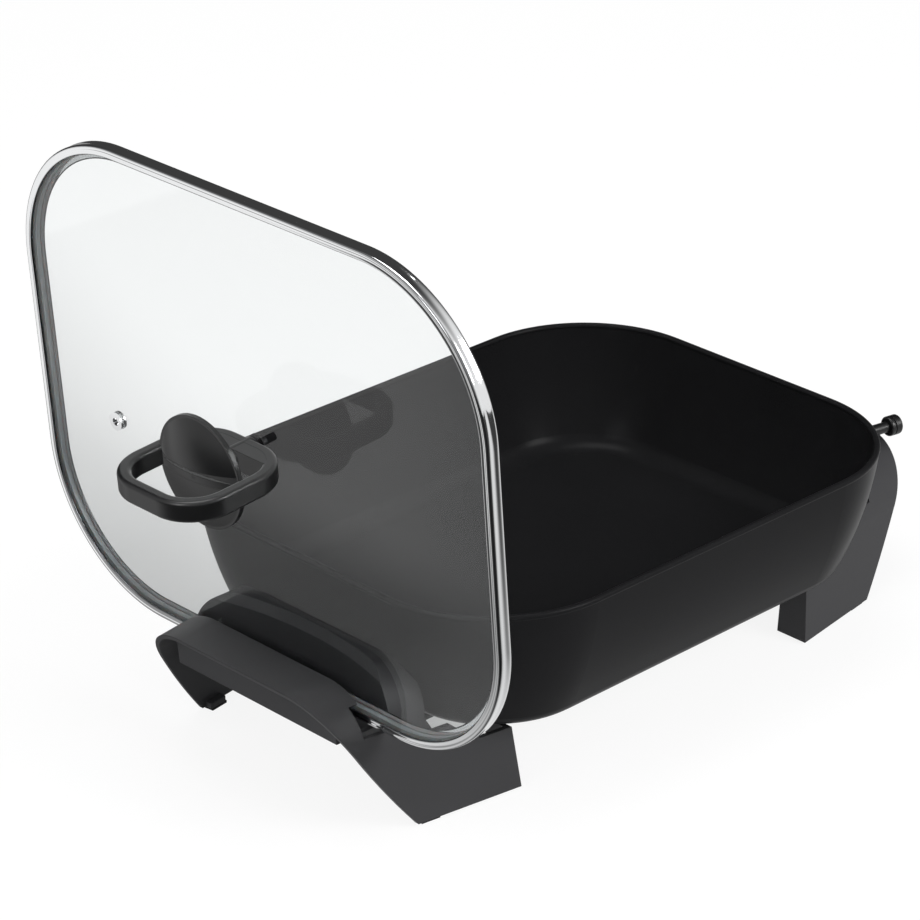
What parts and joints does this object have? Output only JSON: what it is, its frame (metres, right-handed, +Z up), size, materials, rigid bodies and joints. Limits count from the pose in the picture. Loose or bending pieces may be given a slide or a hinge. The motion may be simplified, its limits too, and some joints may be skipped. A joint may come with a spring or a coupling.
{
  "type": "electric skillet",
  "caption": "Rectangular non-stick electric skillet on two handle units, with a lift-off glass lid parked upright in one handle's slot.",
  "frame": {"origin": "on the table, under the middle of the whole skillet with its parked lid", "axes": "+X from the handle that holds the lid towards the plug handle, +Y across the pan to the rear, +Z up"},
  "size_m": [0.5684, 0.382, 0.3702],
  "materials": {
    "pan_coating": "cast aluminium under a satin black non-stick coating",
    "heat_plate_aluminium": "bare rolled",
    "element_sheath": "oxidised sheath",
    "ceramic": null,
    "terminal_steel": "nickel plated",
    "sensor_steel": "drawn tube",
    "handle_plastic": "fine satin grain",
    "housing_plastic": "fine satin grain",
    "bracket_steel": "zinc plated",
    "mica": null,
    "screw_steel": "zinc plated",
    "black_rubber": "matt",
    "black_steel": "black oxide",
    "bush_brass": "turned",
    "lever_plastic": "satin",
    "shaft_steel": "ground",
    "spring_steel": "drawn wire",
    "lid_glass": "clear tempered",
    "rim_steel": "polished stainless steel",
    "silicone": "translucent grey silicone",
    "vent_steel": "polished",
    "knob_plastic": "satin phenolic",
    "insert_brass": "knurled"
  },
  "bodies": {
    "base": {"pan": "pan_coating", "heat_plate": "heat_plate_aluminium", "heating_element": "element_sheath", "terminal_block": "ceramic", "terminal_pins": "terminal_steel", "sensor_tube": "sensor_steel", "left_handle": "handle_plastic", "right_handle": "handle_plastic", "left_housing": "housing_plastic", "right_housing": "housing_plastic", "left_base_cover": "housing_plastic", "right_base_cover": "housing_plastic", "left_brackets": "bracket_steel", "right_brackets": "bracket_steel", "insulating_washers": "mica", "pan_screws": "screw_steel", "bracket_screws": "screw_steel", "cover_screws": "screw_steel", "handle_screws": "screw_steel", "foot_pads": "black_rubber", "plug_guard": "housing_plastic", "lever_bush": "bush_brass"},
    "lever": {"lever_arm": "lever_plastic", "lever_knob": "lever_plastic", "lever_shaft": "shaft_steel", "lever_cam": "housing_plastic", "lever_clip": "shaft_steel", "lever_spring": "spring_steel"},
    "lid": {"lid_glass": "lid_glass", "lid_rim": "rim_steel", "lid_seal": "silicone", "steam_vent": "vent_steel", "knob_seal": "black_rubber", "knob_body": "knob_plastic", "knob_disc": "knob_plastic", "knob_insert": "insert_brass", "inner_seal": "black_rubber", "inner_washer": "black_steel", "lid_screw": "black_steel"}
  },
  "joints": [
    {"name": "lid_lift", "type": "slide", "parent": "base", "child": "lid", "axis": [-0.075, 0, 0.9972], "range_m": [0, 0.12]},
    {"name": "lever_turn", "type": "hinge", "parent": "base", "child": "lever", "pos_m": [0.22872, -0.054, 0.0945], "axis": [0, 0, 1], "range_deg": [-16, 0], "stiffness_Nm_per_rad": 0.05, "springref_deg": 17.19}
  ]
}
